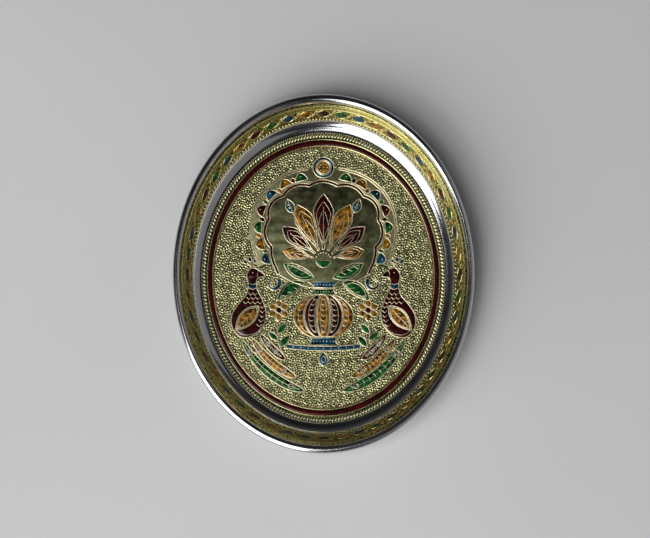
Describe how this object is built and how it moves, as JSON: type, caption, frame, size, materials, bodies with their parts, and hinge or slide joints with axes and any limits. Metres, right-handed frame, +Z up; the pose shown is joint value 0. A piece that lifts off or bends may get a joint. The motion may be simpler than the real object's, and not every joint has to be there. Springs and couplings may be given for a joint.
{
  "type": "enamelled plate",
  "caption": "Oval serving dish of polished steel with a rolled rim, a gilt embossed panel on its base, a gilt band round its wall, and coloured enamel in an arch, vase and peacock design.",
  "frame": {"origin": "centre of the flat underside of the base, on the surface that the plate rests on", "axes": "+Z up, +Y along the long axis towards the head of the centre design, +X to the right of the design"},
  "size_m": [0.183, 0.22, 0.0226],
  "materials": {
    "steel": "mirror-polished stainless steel sheet with fine handling scratches",
    "champagne": "pale gilt embossed sheet, satin to bright, with a fine grained ground",
    "gold": "bright gilt embossed strip",
    "glue": "thin glue film",
    "maroon": "glossy translucent enamel over embossed gilt sheet, with pale gilt outlines",
    "orange": "glossy translucent enamel over embossed gilt sheet, with pale gilt outlines",
    "green": "glossy translucent enamel over embossed gilt sheet, with pale gilt outlines",
    "blue": "glossy translucent enamel over embossed gilt sheet, with pale gilt outlines"
  },
  "bodies": {
    "root": {"dish": "steel", "panel_adhesive": "glue", "centre_panel": "champagne", "ring_enamel": "maroon", "band_adhesive": "glue", "wall_band": "gold", "enamel_arch_band": "maroon", "enamel_base_bar": "blue", "enamel_bud_left": "blue", "enamel_bud_right": "blue", "enamel_leaf_lower_left": "green", "enamel_leaf_lower_right": "green", "enamel_leaf_upper_left": "green", "enamel_leaf_upper_right": "green", "enamel_lotus_calyx": "green", "enamel_lotus_petal_1": "orange", "enamel_lotus_petal_2": "maroon", "enamel_lotus_petal_3": "orange", "enamel_lotus_petal_4": "maroon", "enamel_lotus_petal_5": "orange", "enamel_lotus_petal_6": "maroon", "enamel_lotus_petal_7": "orange", "enamel_medallion_disc": "orange", "enamel_medallion_ring": "blue", "enamel_peacock_body_left": "maroon", "enamel_peacock_body_right": "maroon", "enamel_peacock_wing_left": "orange", "enamel_peacock_wing_right": "orange", "enamel_scallop_left_1": "blue", "enamel_scallop_left_2": "orange", "enamel_scallop_left_3": "green", "enamel_scallop_left_4": "maroon", "enamel_scallop_left_5": "blue", "enamel_scallop_left_6": "orange", "enamel_scallop_left_7": "green", "enamel_scallop_right_1": "blue", "enamel_scallop_right_2": "orange", "enamel_scallop_right_3": "green", "enamel_scallop_right_4": "maroon", "enamel_scallop_right_5": "blue", "enamel_scallop_right_6": "orange", "enamel_scallop_right_7": "green", "enamel_scroll_left": "blue", "enamel_scroll_right": "blue", "enamel_tail_inner_left": "maroon", "enamel_tail_inner_right": "maroon", "enamel_tail_middle_left": "orange", "enamel_tail_middle_right": "orange", "enamel_tail_outer_left": "green", "enamel_tail_outer_right": "green", "enamel_tassel": "blue", "enamel_vase_collar": "blue", "enamel_vase_foot": "blue", "enamel_vase_gore_1": "orange", "enamel_vase_gore_2": "maroon", "enamel_vase_gore_3": "orange", "enamel_vase_gore_4": "maroon", "enamel_vase_gore_5": "orange", "enamel_vase_shoulder": "green"}
  },
  "joints": []
}
